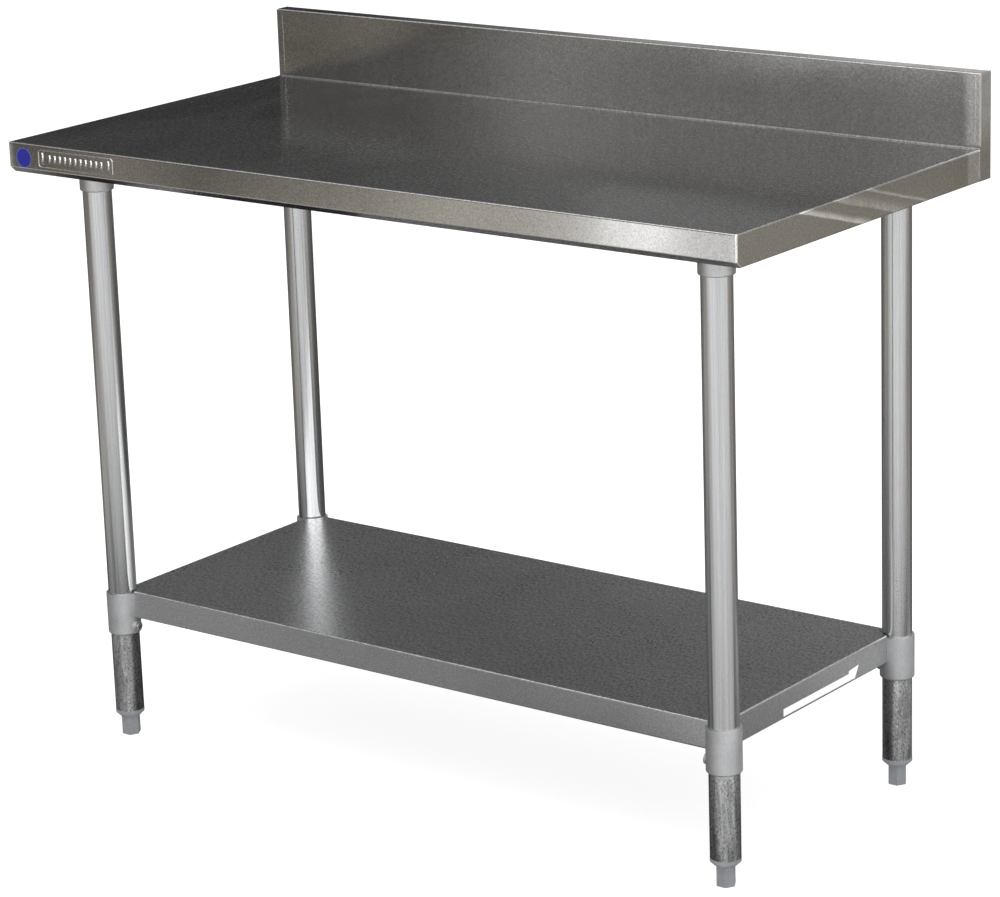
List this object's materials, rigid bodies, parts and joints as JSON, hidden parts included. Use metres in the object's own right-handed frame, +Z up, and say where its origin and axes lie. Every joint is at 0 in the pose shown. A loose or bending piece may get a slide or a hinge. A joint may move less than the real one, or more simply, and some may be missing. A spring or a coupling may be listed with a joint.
{
  "type": "work table",
  "caption": "Stainless steel work table with a raised backsplash, tubular legs on screw-adjusted hexagonal feet, and an undershelf that slides on the legs.",
  "frame": {"origin": "on the floor, under the middle of the table's overall box", "axes": "+X to the right along the length, seen from the front; +Y to the back, towards the wall; +Z up"},
  "size_m": [1.2192, 0.6098, 0.9906],
  "materials": {
    "worktop_steel": "number 4 brushed, grain along the length, ground and polished at the welded corners",
    "shelf_steel": "brushed sheet with a fine mottled grain",
    "channel_steel": "galvanised, dull with a faint spangle",
    "leg_steel": "drawn tube, satin, with streaks along its length",
    "socket_aluminium": "die cast, tumbled, satin",
    "sleeve_aluminium": "die cast, tumbled, satin",
    "zinc_fasteners": "bright zinc plate",
    "foot_screw_steel": "zinc plated thread",
    "foot_plastic": "moulded grey plastic",
    "sound_butyl": "matt black butyl with foil texture",
    "sticker_blue": "printed vinyl",
    "label_white": "blank paper"
  },
  "bodies": {
    "table_frame": {"tabletop": "worktop_steel", "end_cap_left": "worktop_steel", "end_cap_right": "worktop_steel", "leg_front_right": "leg_steel", "leg_front_left": "leg_steel", "leg_rear_right": "leg_steel", "leg_rear_left": "leg_steel", "top_socket_front_right": "socket_aluminium", "top_socket_front_left": "socket_aluminium", "top_socket_rear_right": "socket_aluminium", "top_socket_rear_left": "socket_aluminium", "cross_channel_left": "channel_steel", "cross_channel_right": "channel_steel", "centre_channel": "channel_steel", "channel_studs": "zinc_fasteners", "channel_nuts": "zinc_fasteners", "sound_strips": "sound_butyl", "socket_bolts": "zinc_fasteners", "socket_nuts": "zinc_fasteners", "top_set_screws": "zinc_fasteners", "foot_nuts": "zinc_fasteners", "round_sticker": "sticker_blue", "foot_plug_front_right": "foot_plastic", "foot_plug_front_left": "foot_plastic", "foot_plug_rear_right": "foot_plastic", "foot_plug_rear_left": "foot_plastic"},
    "undershelf": {"shelf_pan": "shelf_steel", "shelf_channel": "channel_steel", "shelf_studs": "zinc_fasteners", "shelf_nuts": "zinc_fasteners", "shelf_set_screws": "zinc_fasteners", "shelf_label": "label_white", "shelf_sleeve_front_right": "sleeve_aluminium", "shelf_sleeve_front_left": "sleeve_aluminium", "shelf_sleeve_rear_right": "sleeve_aluminium", "shelf_sleeve_rear_left": "sleeve_aluminium"},
    "foot_screw_front_right": {"foot_screw_front_right": "foot_screw_steel"},
    "hex_foot_front_right": {"hex_foot_front_right": "foot_plastic"},
    "foot_screw_front_left": {"foot_screw_front_left": "foot_screw_steel"},
    "hex_foot_front_left": {"hex_foot_front_left": "foot_plastic"},
    "foot_screw_rear_right": {"foot_screw_rear_right": "foot_screw_steel"},
    "hex_foot_rear_right": {"hex_foot_rear_right": "foot_plastic"},
    "foot_screw_rear_left": {"foot_screw_rear_left": "foot_screw_steel"},
    "hex_foot_rear_left": {"hex_foot_rear_left": "foot_plastic"}
  },
  "joints": [
    {"name": "shelf_height", "type": "slide", "parent": "table_frame", "child": "undershelf", "axis": [0, 0, 1], "range_m": [-0.11, 0.59]},
    {"name": "foot_height_front_right", "type": "slide", "parent": "table_frame", "child": "foot_screw_front_right", "axis": [0, 0, -1], "range_m": [0, 0.0254]},
    {"name": "foot_turn_front_right", "type": "hinge", "parent": "foot_screw_front_right", "child": "hex_foot_front_right", "pos_m": [0.524, -0.222, 0], "axis": [0, 0, -1], "range_deg": [0, 5760]},
    {"name": "foot_height_front_left", "type": "slide", "parent": "table_frame", "child": "foot_screw_front_left", "axis": [0, 0, -1], "range_m": [0, 0.0254]},
    {"name": "foot_turn_front_left", "type": "hinge", "parent": "foot_screw_front_left", "child": "hex_foot_front_left", "pos_m": [-0.524, -0.222, 0], "axis": [0, 0, -1], "range_deg": [0, 5760]},
    {"name": "foot_height_rear_right", "type": "slide", "parent": "table_frame", "child": "foot_screw_rear_right", "axis": [0, 0, -1], "range_m": [0, 0.0254]},
    {"name": "foot_turn_rear_right", "type": "hinge", "parent": "foot_screw_rear_right", "child": "hex_foot_rear_right", "pos_m": [0.524, 0.206, 0], "axis": [0, 0, -1], "range_deg": [0, 5760]},
    {"name": "foot_height_rear_left", "type": "slide", "parent": "table_frame", "child": "foot_screw_rear_left", "axis": [0, 0, -1], "range_m": [0, 0.0254]},
    {"name": "foot_turn_rear_left", "type": "hinge", "parent": "foot_screw_rear_left", "child": "hex_foot_rear_left", "pos_m": [-0.524, 0.206, 0], "axis": [0, 0, -1], "range_deg": [0, 5760]}
  ],
  "couplings": [
    {"joint": "foot_turn_front_right", "follows": "foot_height_front_right", "rad_per_m": 3957.9},
    {"joint": "foot_turn_front_left", "follows": "foot_height_front_left", "rad_per_m": 3957.9},
    {"joint": "foot_turn_rear_right", "follows": "foot_height_rear_right", "rad_per_m": 3957.9},
    {"joint": "foot_turn_rear_left", "follows": "foot_height_rear_left", "rad_per_m": 3957.9}
  ]
}
